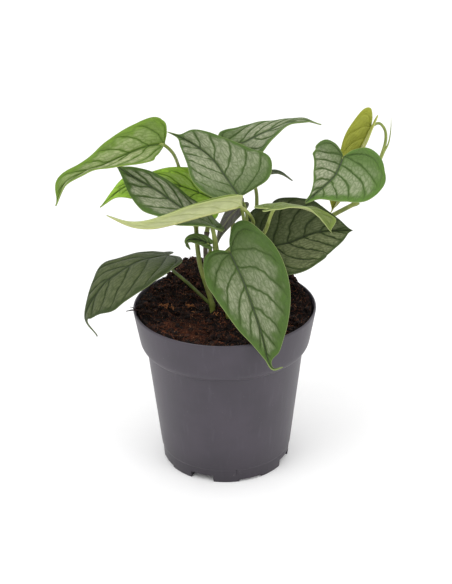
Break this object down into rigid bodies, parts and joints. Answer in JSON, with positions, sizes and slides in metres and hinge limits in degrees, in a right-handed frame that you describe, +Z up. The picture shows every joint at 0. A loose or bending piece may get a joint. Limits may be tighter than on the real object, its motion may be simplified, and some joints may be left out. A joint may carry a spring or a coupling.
{
  "type": "potted monstera siltepecana",
  "caption": "Young silver-leaved monstera with heart-shaped leaves on arching stalks, in coir soil in a round slate-grey plastic nursery pot.",
  "frame": {"origin": "centre of the pot's underside, on the surface that it stands on", "axes": "+Z up along the pot's axis, -Y towards the front leaf that hangs over the rim, +X towards the leaves on the right"},
  "size_m": [0.2124, 0.1294, 0.2363],
  "materials": {
    "pot_plastic": "satin injection-moulded polypropylene",
    "soil": "damp coir and peat, crumbly with fibres",
    "stem": "smooth fresh green stem",
    "leaf_silver": "silver-green leaf with dark veins, satin",
    "leaf_lime": "bright green leaf, satin",
    "leaf_deep": "dark green leaf with darker veins, satin",
    "leaf_pale": "pale young leaf, satin",
    "leaf_young": "yellow-green young leaf, satin"
  },
  "bodies": {
    "root": {"pot": "pot_plastic", "soil": "soil", "stem_left": "stem", "stem_middle": "stem", "stem_front": "stem", "stem_back": "stem", "stem_right": "stem", "leaf_top_left": "leaf_lime", "leaf_centre": "leaf_silver", "leaf_back": "leaf_silver", "leaf_left": "leaf_silver", "leaf_left_behind": "leaf_lime", "leaf_rolled": "leaf_pale", "leaf_small": "leaf_deep", "leaf_front": "leaf_silver", "leaf_low_left": "leaf_deep", "leaf_right": "leaf_deep", "leaf_right_arched": "leaf_pale", "leaf_top_right": "leaf_silver", "leaf_young": "leaf_young", "leaf_back_low": "leaf_deep", "leaf_rear_narrow": "leaf_deep"}
  },
  "joints": []
}
